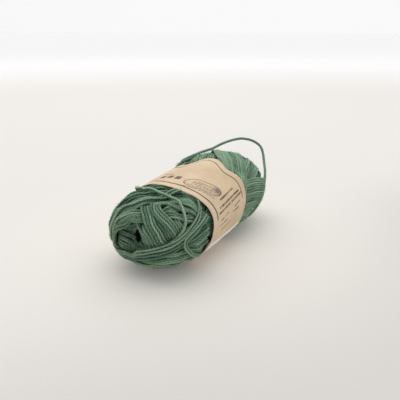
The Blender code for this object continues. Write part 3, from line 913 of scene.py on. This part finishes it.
def yarn_finish(name, shade=1.0, between=0.68):
    """Sage green cotton with fine fibres: its tone changes by the strand, with painted shade between the
    plies and on faces turned toward the skein's inside.
    """
    # shade scales every colour: below 1 it makes a painted-shade copy, above 1 a painted-light copy.
    def dyed(*colour):
        return srgb(*(round(value * shade) for value in colour))

    material, board, shader = finish_start(name, {
        "Metallic": 0.0, "Sheen Weight": 0.25, "Sheen Roughness": 0.55, "Specular IOR Level": 0.25,
        "Sheen Tint": srgb(205, 226, 208)})
    tone = board.attribute("tone")
    crest = board.attribute("crest")
    along = board.attribute("along")
    rim = board.attribute("rim", "Vector")
    drawn_out = board.vector(along * 500, board.part(rim, "X") * 4 + tone * 90, board.part(rim, "Y") * 4)
    fibre = board.noise(drawn_out, 1.0, 3.0)
    place = board.place()
    patch = board.noise(place, 110.0)
    grain = board.noise(place, 2600.0)
    fleck = board.noise(place, 1000.0)
    light = (tone * 0.6 + patch * 0.4 + fibre * 0.4 + grain * 0.4 + fleck * 0.7 - 0.75).step(0.0, 1.0)
    lit = board.mix(light, dyed(86, 122, 97), dyed(168, 199, 168))
    # Painted shade: darker in the grooves between plies and on faces turned toward the skein's inside, down
    # to the dark green below; between sets the inward part.
    inward_shade = 1 - board.attribute("open").step(SHUT_FROM, OPEN_FROM)
    shaded = ((1 - crest) ** 1.3 * 0.6 + inward_shade * between).least(0.95)
    feed(shader, "Base Color", board.mix(shaded, lit, dyed(46, 78, 57)))
    feed(shader, "Roughness", 0.78 + fibre * 0.18)
    feed_bump(shader, 0.5, 0.00012, fibre + grain * 0.4)
    return material


def core_finish():
    """The yarn deep between the strands, with its own turns faintly to be seen, painted dark as shade."""
    material, board, shader = finish_start("shaded_deep_yarn", {"Metallic": 0.0, "Specular IOR Level": 0.1})
    place = board.place()
    upwards = board.part(place, "Z") - HEIGHT / 2 * MM
    wobble = board.noise(place, 45.0)
    turn = board.maths("ARCTAN2", upwards, board.part(place, "Y")) + wobble * 0.5
    ridge = abs((turn * DEEP_TURNS).cosine()) ** 0.7
    grain = board.noise(place, 900.0, 3.0)
    depth = (ridge * 0.8 + grain * 0.5 - 0.15).step(0.0, 1.0)
    # Painted shade: the core is coloured far darker than the strands, as yarn in shadow, its ridges a little
    # lighter.
    feed(shader, "Base Color", board.mix(depth, srgb(18, 34, 26), srgb(58, 88, 66)))
    feed(shader, "Roughness", 0.85 + grain * 0.1)
    feed_bump(shader, 1.0, 0.0006, ridge)
    return material


def border_line(from_edge, turn, border):
    """A printed line along an edge of the paper."""
    line = (from_edge - border["inset"]).within(0.0, 0.38, 0.2)
    return line * turn.step(*BORDER_BEGINS) * (1 - turn.step(*border["ends"]))


def paper_print(board, near, far, turn, way):
    """Where ink lies on the paper: border lines, broken bars, and an oval outline with bars in it."""
    ink = border_line(near, turn, NEAR_BORDER).most(border_line(far, turn, FAR_BORDER))
    for bar in PRINT_BARS:
        middle = (bar["from"] + bar["to"]) / 2
        half = (bar["to"] - bar["from"]) / 2
        across = (turn - bar["turn"] + (way - middle) * bar["slant"]).within(0.0, bar["half"], 0.35)
        gaps = board.noise(board.vector(way * bar["breaks"], bar["turn"]), 1.0, 0.0).step(0.36, 0.42)
        ink = ink.most(across * way.within(middle, half, 0.3) * gaps * bar["dark"])
    oval_way = (way - OVAL["way"]) + (turn - OVAL["turn"]) * OVAL["slant"]
    past_straight = (abs((turn - OVAL["turn"]) / OVAL_DEGREES) - OVAL["half_length"]).most(0.0)
    rounded = (oval_way * oval_way + past_straight * past_straight) ** 0.5
    ink = ink.most(rounded.within(OVAL["half_width"], 0.22, 0.22) * 0.85)
    for row in OVAL_ROWS:
        gaps = board.noise(board.vector(turn * 0.55, row["off"] * 7.0), 1.0, 0.0).step(0.38, 0.46)
        ends = turn.step(row["from"], row["from"] + 1) * (1 - turn.step(row["to"], row["to"] + 1))
        ink = ink.most((oval_way - row["off"]).within(0.0, 0.3, 0.25) * ends * gaps * row["dark"])
    return ink


def paper_finish():
    """Kraft paper, dark printed border lines and plain bars, rubbed pink edges and a white margin."""
    material, board, shader = finish_start("kraft_paper", {"Metallic": 0.0, "Specular IOR Level": 0.35})
    place = board.place()
    near = board.attribute("from_near")
    far = board.attribute("from_far")
    turn = board.attribute("turn")
    way = board.attribute("way")
    fleck = board.noise(place, 1500.0, 4.0)
    cloud = board.noise(place, 60.0, 3.0)
    long_fibre = board.noise(board.vector_maths("MULTIPLY", place, (2600.0, 700.0, 700.0)), 1.0, 3.0)
    kraft = board.mix(cloud.step(0.3, 0.7), srgb(208, 184, 151), srgb(222, 200, 168))
    pulp = (fleck * 0.6 + long_fibre * 0.5 - 0.2).step(0.2, 0.65)
    kraft = board.mix(pulp * 0.35, kraft, srgb(185, 158, 122))
    kraft = board.mix((1 - near.step(1.2, 3.8)) * 0.8, kraft, srgb(230, 198, 173))
    wobble = (cloud - 0.5) * 0.5
    ink = paper_print(board, near + wobble, far + wobble, turn, way)
    ink = ink * (fleck.step(0.2, 0.45) * 0.35 + 0.65)
    from_dab = way - DAB["way"]
    dab = (from_dab * from_dab + ((turn - DAB["turn"]) * DAB_MM) ** 2.0) ** 0.5
    dab = (1 - dab.step(DAB["from"], DAB["reach"])) * (0.5 + fleck * 0.5)
    printed = board.mix(dab, kraft, srgb(98, 62, 84))
    printed = board.mix(ink * 0.95, printed, srgb(66, 44, 38))
    margin = turn.step(*MARGIN_TURNS).step(0.1, 0.9)
    printed = board.mix(margin, printed, srgb(242, 240, 234))
    cut_edge = 1 - near.least(far).step(0.05, 0.28)
    printed = board.mix(cut_edge * 0.5, printed, srgb(236, 224, 200))
    feed(shader, "Base Color", printed)
    feed(shader, "Roughness", 0.62 + fleck * 0.2 - ink * 0.08)
    feed_bump(shader, 0.35, 0.0002, fleck * 0.5 + long_fibre * 0.8 + cloud * 1.5)
    return material


def floor_finish():
    """Matt pale floor, hardly uneven, lighter in the distance, with painted light: lighter towards the left
    and behind and close round the skein, and a faint glow of its own.
    """
    # Painted light: Emission Strength makes the floor glow faintly, which lightens the shadows on it.
    material, board, shader = finish_start("pale_floor_painted_light", {
        "Metallic": 0.0, "Specular IOR Level": 0.2, "Emission Strength": 0.11})
    place = board.place()
    cloud = board.noise(place, 14.0, 3.0)
    away = board.vector_maths("LENGTH", place, output="Value")
    leftward = board.vector_maths("DOT_PRODUCT", place, (0.2, 0.98, 0.0), "Value")
    behind = board.vector_maths("DOT_PRODUCT", place, (0.885, 0.465, 0.0), "Value")
    near = board.mix(cloud, srgb(190, 187, 183), srgb(194, 191, 188))
    # Painted light: lighter towards the left and behind, where the lamp's light falls.
    near = board.mix((leftward + behind * 0.25).step(-0.13, 0.02), near, srgb(209, 206, 202))
    # Painted light: lighter close round the skein, which softens its shadow.
    near = board.mix((1 - away.step(0.03, 0.17)) * 0.8, near, srgb(218, 213, 206))
    feed(shader, "Base Color", board.mix(away.step(0.7, 1.9), near, srgb(249, 249, 250)))
    # Painted light: the glow's colour, warm near the skein and stronger in the distance.
    feed(shader, "Emission Color", board.mix(away.step(1.2, 2.6), (1.0, 0.97, 0.93, 1), (1.5, 1.5, 1.5, 1)))
    feed(shader, "Roughness", 0.6 + cloud * 0.15)
    return material


def facing_out(board):
    """How squarely the surface looks away from the skein's spine, 1 at most."""
    place = board.node("GeometryNodeInputPosition")
    along = board.part(place, "X").most(-SPINE * MM).least(SPINE * MM)
    outward = board.vector_maths("SUBTRACT", place, board.vector(along, z=HEIGHT / 2 * MM))
    outward = board.vector_maths("NORMALIZE", outward)
    return board.vector_maths("DOT_PRODUCT", board.node("GeometryNodeInputNormal"), outward, "Value")


def chance(board, low, high, seed):
    """A random number for each fibre."""
    return board.node("FunctionNodeRandomValue", {"data_type": "FLOAT"}, {2: low, 3: high, "Seed": seed}, 1)


def store(board, geometry, name, value, kind="FLOAT"):
    """Keep a value under a name on each point."""
    return board.node("GeometryNodeStoreNamedAttribute", {"data_type": kind, "domain": "POINT"},
                      {"Geometry": geometry, "Name": name, "Value": value})


def fibre_branch(board, sizes, tube):
    """Short loose fibres that stand off the outer side of the strands."""
    height = board.part(board.node("GeometryNodeInputPosition"), "Z")
    facing = facing_out(board) * height.over(FIBRES_OFF_FLOOR * MM)
    outer = board.node("FunctionNodeCompare", {"operation": "GREATER_THAN"}, {0: facing, 1: 0.25})
    roots = board.node("GeometryNodeDistributePointsOnFaces", {"distribute_method": "RANDOM"},
                       {"Mesh": tube, "Selection": outer, "Density": sizes["Fibres"], "Seed": 5}, "Points")
    rotation = Wire(board, roots.socket.node.outputs["Rotation"])
    spin = chance(board, 0.0, 6.283, 6)
    lean = chance(board, -0.5, 0.35, 7)
    rotation = board.node("FunctionNodeRotateRotation", {"rotation_space": "LOCAL"},
                          {0: rotation, 1: board.vector(0.0, lean, spin)})
    bow = board.node("GeometryNodeCurveQuadraticBezier", None, {
        "Resolution": 3, "Start": (0.0, 0.0, -0.05), "Middle": (0.45, 0.1, 0.55), "End": (1.0, 0.0, 0.32)})
    length = sizes["Fibre Length"]
    bow = board.node("GeometryNodeTransform", None, {
        "Geometry": bow, "Scale": board.vector(length, length, length)})
    rim = board.node("GeometryNodeCurvePrimitiveCircle", {"mode": "RADIUS"},
                     {"Resolution": 3, "Radius": sizes["Fibre Thickness"] / 2}, "Curve")
    fibre = board.node("GeometryNodeCurveToMesh", None, {"Curve": bow, "Profile Curve": rim})
    return board.node("GeometryNodeInstanceOnPoints", None, {
        "Points": roots, "Instance": fibre, "Rotation": rotation, "Scale": chance(board, 0.5, 1.5, 8)})


def strand_tree(material):
    """The tree that turns lines into plied strands, with named inputs for the yarn's sizes."""
    tree = bpy.data.node_groups.new("plied_strand", "GeometryNodeTree")
    tree.interface.new_socket("Lines", in_out="INPUT", socket_type="NodeSocketGeometry")
    for name, value, kind in (
            ("Radius", STRAND / 2 * MM, "Float"), ("Ply Turn", PLY_TURN * MM, "Float"),
            ("Groove", GROOVE, "Float"), ("Fibres", 0.0, "Float"),
            ("Fibre Length", FIBRE_LENGTH * MM, "Float"), ("Fibre Thickness", FIBRE_THICKNESS * MM, "Float"),
            ("Plies", PLIES, "Int"), ("Points Round", TURN_SIDES, "Int")):
        socket = tree.interface.new_socket(name, in_out="INPUT", socket_type="NodeSocket" + kind)
        socket.default_value = value
    tree.interface.new_socket("Strands", in_out="OUTPUT", socket_type="NodeSocketGeometry")
    board = Board(tree)
    given = tree.nodes.new("NodeGroupInput")
    sizes = {socket.name: Wire(board, socket) for socket in given.outputs if socket.name}

    circle = board.node("GeometryNodeCurvePrimitiveCircle", {"mode": "RADIUS"},
                        {"Resolution": sizes["Points Round"], "Radius": 1.0}, "Curve")
    around = board.node("GeometryNodeSplineParameter", output="Factor") * math.pi
    crest = abs((around * sizes["Plies"]).cosine())
    outline = board.node("ShaderNodeVectorMath", {"operation": "SCALE"}, {
        0: board.node("GeometryNodeInputPosition"), "Scale": 1 - sizes["Groove"] * (1 - crest)})
    circle = store(board, circle, "crest", crest)
    circle = board.node("GeometryNodeSetPosition", None, {"Geometry": circle, "Position": outline})
    circle = store(board, circle, "rim", board.node("GeometryNodeInputPosition"), "FLOAT_VECTOR")

    line = board.node("GeometryNodeMeshToCurve", None, {"Mesh": sizes["Lines"]})
    length = board.node("GeometryNodeSplineParameter", output="Length")
    line = store(board, line, "along", length)
    tone = board.node("GeometryNodeInputNamedAttribute", {"data_type": "FLOAT"}, {"Name": "tone"})
    girth = board.node("GeometryNodeInputNamedAttribute", {"data_type": "FLOAT"}, {"Name": "girth"})
    tilt = length * (2 * math.pi) / sizes["Ply Turn"] + tone * 20
    line = board.node("GeometryNodeSetCurveTilt", None, {"Curve": line, "Tilt": tilt})
    tube = board.node("GeometryNodeCurveToMesh", None, {
        "Curve": line, "Profile Curve": circle, "Scale": sizes["Radius"] * girth, "Fill Caps": True})
    tube = board.node("GeometryNodeSetShadeSmooth", None, {"Geometry": tube, "Shade Smooth": True})
    # How far each face looks outward, kept for the yarn's painted shade.
    tube = store(board, tube, "open", facing_out(board))
    both = board.node("GeometryNodeJoinGeometry", None, {"Geometry": fibre_branch(board, sizes, tube)})
    tree.links.new(tube.socket, both.socket.node.inputs["Geometry"])
    tube = board.node("GeometryNodeRealizeInstances", None, {"Geometry": both})
    tube = board.node("GeometryNodeSetMaterial", None, {"Geometry": tube, "Material": material})
    out = tree.nodes.new("NodeGroupOutput")
    tree.links.new(tube.socket, out.inputs[0])
    return tree


def link_piece(name, mesh, material):
    mesh.materials.clear()
    mesh.materials.append(material)
    piece = bpy.data.objects.new(name, mesh)
    bpy.context.scene.collection.objects.link(piece)
    return piece


def finished_mesh(piece):
    """A plain mesh of a piece as its modifiers leave it."""
    depsgraph = bpy.context.evaluated_depsgraph_get()
    return bpy.data.meshes.new_from_object(piece.evaluated_get(depsgraph), depsgraph=depsgraph)


def keep_facts(mesh, facts):
    for name, values in facts.items():
        mesh.attributes.new(name, "FLOAT", "POINT").data.foreach_set("value", values)


def plied_piece(name, lines, material, sizes):
    """One piece of plied strands from lines: their points in millimetres, tone and girth."""
    mesh = bpy.data.meshes.new(name + "_lines")
    points, edges, tones, girths = [], [], [], []
    for line in lines:
        start, count = len(points), len(line["points"])
        points += (line["points"] * MM).tolist()
        edges += [(start + index, start + index + 1) for index in range(count - 1)]
        tones += [line["tone"]] * count
        girths += [line["girth"]] * count
    mesh.from_pydata(points, edges, [])
    keep_facts(mesh, {"tone": tones, "girth": girths})
    guide = link_piece(name + "_guide", mesh, material)
    tree = strand_tree(material)
    modifier = guide.modifiers.new("plied_strand", "NODES")
    modifier.node_group = tree
    for socket in tree.interface.items_tree:
        if socket.name in sizes:
            modifier[socket.identifier] = sizes[socket.name]
    made = finished_mesh(guide)
    made.name = name
    bpy.data.objects.remove(guide, do_unlink=True)
    return link_piece(name, made, material)


def grid_faces(rows, columns, closed=False):
    """The faces between rows of points, whose ends may meet."""
    faces = []
    for row in range(rows - 1):
        for column in range(columns if closed else columns - 1):
            here, after = row * columns + column, row * columns + (column + 1) % columns
            faces.append((here, here + columns, after + columns, after))
    return faces


def make_core(material):
    """The body between the strands, a little under them, with the pit of the pull hole; its finish paints it
    dark as shade.
    """
    rows, columns = CORE_GRID
    arcs = np.linspace(0, WHOLE_ARC, rows + 2)[1:-1]
    angles = 2 * math.pi * np.arange(columns) / columns
    arc, angle = (part.ravel() for part in np.meshgrid(arcs, angles, indexing="ij"))
    points, normals = form_along(arc, angle)
    poles, _ = form_at(np.array([-HALF_LENGTH + 0.001, HALF_LENGTH - 0.001]), np.zeros(2))
    depth, seat = seat_depth(points)
    sunk = np.maximum(depth + CORE_UNDER_BAND, CORE_DEPTH * (1 - seat)) + hollow(points, DEEP_FUNNELS)
    points -= normals * sunk[:, None]
    pit = PIT_DEPTH * (1 - smooth(np.hypot(*beside_hole(arc, angle, PIT_MARGIN)), *PIT_EDGE))
    points[:, 0] += np.where(arc < NEAR_FACE, pit, 0)
    points[:, 2] = np.maximum(points[:, 2], CORE_OFF_FLOOR)
    poles[0, 0] += PIT_MIDDLE_DEPTH
    poles[1, 0] -= CORE_DEPTH
    faces = grid_faces(rows, columns, closed=True)
    last = (rows - 1) * columns
    for column in range(columns):
        after = (column + 1) % columns
        faces.append((after, column, rows * columns))
        faces.append((last + column, last + after, rows * columns + 1))
    mesh = bpy.data.meshes.new("skein_core")
    mesh.from_pydata((np.vstack([points, poles]) * MM).tolist(), [], faces)
    shape = bmesh.new()
    shape.from_mesh(mesh)
    bmesh.ops.recalc_face_normals(shape, faces=shape.faces)
    shape.to_mesh(mesh)
    shape.free()
    mesh.shade_smooth()
    return link_piece("skein_core", mesh, material)


def creases(around, along):
    """How far the paper's soft creases stand out."""
    total = np.zeros_like(around)
    for crease in CREASES:
        wave = np.sin(around * crease["round"] + along * crease["along"] + crease["start"])
        total += crease["height"] * np.abs(wave) ** 0.8
    return total - CREASE_MEAN


def make_band(material):
    """The paper band: a sheet rolled once round the yarn, its end lapped over its start low in front."""
    columns, rows = PAPER_POINTS
    turns = np.linspace(*PAPER_TURNS, columns)
    angle = np.radians(turns)
    near, far = edge_at(NEAR_EDGE, angle), edge_at(FAR_EDGE, angle)
    x = near[:, None] + (far - near)[:, None] * np.linspace(0, 1, rows)[None, :]
    points, normals = form_at(x.ravel(), np.repeat(angle, rows))
    points, normals = points.reshape(columns, rows, 3), normals.reshape(columns, rows, 3)
    steps = np.linalg.norm(np.diff(points[:, rows // 2], axis=0), axis=1)
    around = np.concatenate([[0], np.cumsum(steps)])
    tucked = smooth(-turns, *TUCK_TURNS) * TUCK_DEPTH
    lapped = smooth(turns, *LAP_TURNS) * LAP_RISE
    relief = creases(around[:, None] + np.zeros_like(x), x)
    height = lapped[:, None] - tucked[:, None] + relief - PAPER_SINKAGE
    points = points + normals * height[..., None]
    points[..., 2] = np.maximum(points[..., 2], PAPER + PAPER_OFF_FLOOR)
    mesh = bpy.data.meshes.new("kraft_band")
    faces = grid_faces(columns, rows)
    mesh.from_pydata((points.reshape(-1, 3) * MM).tolist(), [], faces)
    keep_facts(mesh, {"from_near": (x - near[:, None]).ravel(), "from_far": (far[:, None] - x).ravel(),
                      "turn": np.repeat(turns, rows), "way": x.ravel()})
    piece = link_piece("kraft_band", mesh, material)
    outward = mesh.polygons[len(faces) // 2].normal.dot(Vector(normals[columns // 2, rows // 2]))
    if outward < 0:
        mesh.flip_normals()
    mesh.shade_smooth()
    thick = piece.modifiers.new("paper", "SOLIDIFY")
    thick.thickness, thick.offset = PAPER * MM, -1.0
    solid = finished_mesh(piece)
    piece.modifiers.clear()
    piece.data = solid
    return piece, float((far - near).max()), float(around[-1]), float(((far - near)[:-1] * steps).sum())


def make_camera():
    pitch, yaw = math.radians(CAMERA_PITCH), math.radians(CAMERA_YAW)
    ahead = Vector((math.cos(yaw) * math.cos(pitch), math.sin(yaw) * math.cos(pitch), -math.sin(pitch)))
    right = ahead.cross(Vector((0, 0, 1))).normalized()
    up = right.cross(ahead)
    data = bpy.data.cameras.new("view")
    data.sensor_width, data.lens = SENSOR, FOCUS_PX / PHOTO_PX * SENSOR
    data.clip_start = 0.01
    camera = bpy.data.objects.new("view", data)
    camera.matrix_world = Matrix((right, up, -ahead)).transposed().to_4x4()
    camera.location = Vector(CAMERA_PLACE) * MM
    bpy.context.scene.collection.objects.link(camera)
    bpy.context.scene.camera = camera


def make_room():
    """A pale floor, soft white light all round and a wide soft lamp from behind on the left."""
    mesh = bpy.data.meshes.new("floor")
    corners = ((-1, -1), (1, -1), (1, 1), (-1, 1))
    mesh.from_pydata([(x * FLOOR_HALF, y * FLOOR_HALF, 0) for x, y in corners], [], [(0, 1, 2, 3)])
    link_piece("floor", mesh, floor_finish())
    world = bpy.data.worlds.new("soft_room")
    bpy.context.scene.world = world
    world.use_nodes = True
    board = Board(world.node_tree)
    direction = board.node("ShaderNodeTexCoord", output="Generated")
    behind = board.vector_maths("DOT_PRODUCT", direction, LIGHT_FROM, "Value")
    background = world.node_tree.nodes["Background"]
    feed(background, "Strength", 0.5 + behind.step(-0.7, 0.9) * 0.45)
    background.inputs["Color"].default_value = (1.0, 1.0, 1.0, 1)
    data = bpy.data.lights.new("window", "AREA")
    data.energy, data.shape, data.size = WINDOW_WATTS, "DISK", WINDOW_SIZE
    lamp = bpy.data.objects.new("window", data)
    lamp.location = WINDOW_PLACE
    lamp.rotation_mode = "QUATERNION"
    lamp.rotation_quaternion = (Vector(WINDOW_AIM) - Vector(WINDOW_PLACE)).to_track_quat("-Z", "Y")
    bpy.context.scene.collection.objects.link(lamp)
    bpy.context.scene.view_settings.view_transform = "Standard"


def dress_slack():
    """The slack strand, from under the band's far edge, over the far end and into the front side."""
    route = smooth_way(SLACK_ROUTE, SLACK_STEP)
    shown = route[route[:, 0] > SLACK_LEAVES_BAND]
    shown[:len(SLACK_TUCK)] -= np.outer(SLACK_TUCK, SLACK_WAY_OUT)
    slack = plied_piece("slack_yarn", [{"points": shown, "tone": 0.35, "girth": 1.0}],
                        yarn_finish("slack_cotton", between=0.0),
                        {"Radius": SLACK_DIAMETER / 2 * SLACK_FULLER * MM})
    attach(slack, "root")
    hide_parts("slack_strand")


def dress_yarn():
    """The wound yarn: its loops, its main bundles and the core between them, painted dark as shade."""
    winding = wind()
    centres = strand_points(winding)
    hidden = winding.hidden()
    # Painted shade: the loops under the bundles get a darker copy of the cotton.
    loops = yarn_finish("shaded_cotton", 0.93)
    cotton = yarn_finish("sage_cotton")
    # Painted light: the far end gets a slightly lighter copy with less painted shade between the strands.
    far_lit_cotton = yarn_finish("far_lit_cotton", 1.02, 0.45)
    loop_sizes = {"Points Round": LOOP_SIDES, "Fibres": LOOP_FIBRES}
    turn_sizes = {"Points Round": TURN_SIDES, "Fibres": TURN_FIBRES}
    pieces = {
        "near_loops": (visible_lines(winding, centres, hidden, ("base",), True), loops, loop_sizes),
        "far_loops": (visible_lines(winding, centres, hidden, ("base",), False), loops, loop_sizes),
    }
    for name, labels in BUNDLE_PIECES.items():
        material = far_lit_cotton if name.startswith("far") else cotton
        pieces[name] = (visible_lines(winding, centres, hidden, labels), material, turn_sizes)
    made = []
    for name, (lines, material, sizes) in pieces.items():
        made.append(plied_piece(name, lines, material, sizes))
    made.append(make_core(core_finish()))
    for piece in made:
        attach(piece, "root")
        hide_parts("yarn_skein")


def dress_band():
    """The paper band, a sheet stretched on the yarn."""
    band, width, around, area = make_band(paper_finish())
    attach(band, "root")
    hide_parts("paper_band")


make_camera()
dress_slack()
dress_yarn()
dress_band()
make_room()
